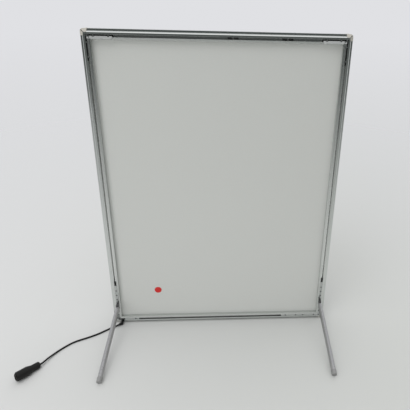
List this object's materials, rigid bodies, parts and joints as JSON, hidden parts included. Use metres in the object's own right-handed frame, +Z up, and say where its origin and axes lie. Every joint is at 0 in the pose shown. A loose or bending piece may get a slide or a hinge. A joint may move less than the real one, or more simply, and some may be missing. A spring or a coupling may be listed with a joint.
{
  "type": "menu light box",
  "caption": "Portrait edge-lit light box: slotted mitred rails round an opal panel, swing-out feet and a short lead with a round power socket.",
  "frame": {"origin": "on the floor, under the middle of the frame", "axes": "+Z up, the panel faces -Y, +X to the right as the panel is looked at"},
  "size_m": [0.3934, 0.2134, 0.4],
  "materials": {
    "anodised_rail": "satin anodised",
    "leg_aluminium": "satin anodised grey",
    "bracket_steel": "zinc plated",
    "black_steel": "blackened",
    "screw_steel": "blackened and oiled",
    "cap_plastic": "moulded beige grey",
    "foot_plastic": "moulded grey",
    "opal_acrylic": "opal satin",
    "clear_acrylic": "clear with printed dots",
    "reflector_film": "white film",
    "back_sheet": "white painted",
    "red_marker": "paper label",
    "led_board": "white solder mask",
    "led_chip": "phosphor",
    "lead_sheath": "insulation",
    "cord_sheath": "satin black",
    "black_rubber": "satin black",
    "socket_plastic": "moulded black",
    "contact_metal": "nickel plated"
  },
  "bodies": {
    "frame": {"top_rail": "anodised_rail", "bottom_rail": "anodised_rail", "left_rail": "anodised_rail", "right_rail": "anodised_rail", "top_corner_brackets": "bracket_steel", "bottom_corner_brackets": "bracket_steel", "top_bracket_screws": "bracket_steel", "bottom_bracket_screws": "screw_steel", "corner_caps": "cap_plastic", "diffuser_panel": "opal_acrylic", "light_guide": "clear_acrylic", "reflector_sheet": "reflector_film", "back_panel": "back_sheet", "marker_dot": "red_marker", "left_led_board": "led_board", "right_led_board": "led_board", "left_led_chips": "led_chip", "right_led_chips": "led_chip", "left_supply_lead": "lead_sheath", "right_supply_lead": "lead_sheath", "joint_plate": "bracket_steel", "joint_plate_screws": "screw_steel", "slot_nuts": "black_steel", "leg_knuckles": "black_steel", "leg_plates": "bracket_steel", "leg_plate_screws": "screw_steel", "slot_stops": "black_steel", "hinge_pins": "black_steel", "cord_grommet": "black_rubber", "power_cord": "cord_sheath", "socket_body": "socket_plastic", "socket_sleeve": "contact_metal", "socket_contact": "contact_metal"},
    "front_left_foot": {"front_left_leg": "leg_aluminium", "front_left_foot_cap": "foot_plastic"},
    "front_right_foot": {"front_right_leg": "leg_aluminium", "front_right_foot_cap": "foot_plastic"},
    "rear_left_foot": {"rear_left_leg": "leg_aluminium", "rear_left_foot_cap": "foot_plastic"},
    "rear_right_foot": {"rear_right_leg": "leg_aluminium", "rear_right_foot_cap": "foot_plastic"}
  },
  "joints": [
    {"name": "front_left_foot_swing", "type": "hinge", "parent": "frame", "child": "front_left_foot", "pos_m": [-0.1419, -0.0142, 0.0295], "axis": [0, 0, 1], "range_deg": [0, 90]},
    {"name": "front_right_foot_swing", "type": "hinge", "parent": "frame", "child": "front_right_foot", "pos_m": [0.1419, -0.0142, 0.0295], "axis": [0, 0, -1], "range_deg": [0, 90]},
    {"name": "rear_left_foot_swing", "type": "hinge", "parent": "frame", "child": "rear_left_foot", "pos_m": [-0.1419, 0.0142, 0.0295], "axis": [0, 0, -1], "range_deg": [0, 90]},
    {"name": "rear_right_foot_swing", "type": "hinge", "parent": "frame", "child": "rear_right_foot", "pos_m": [0.1419, 0.0142, 0.0295], "axis": [0, 0, 1], "range_deg": [0, 90]}
  ]
}
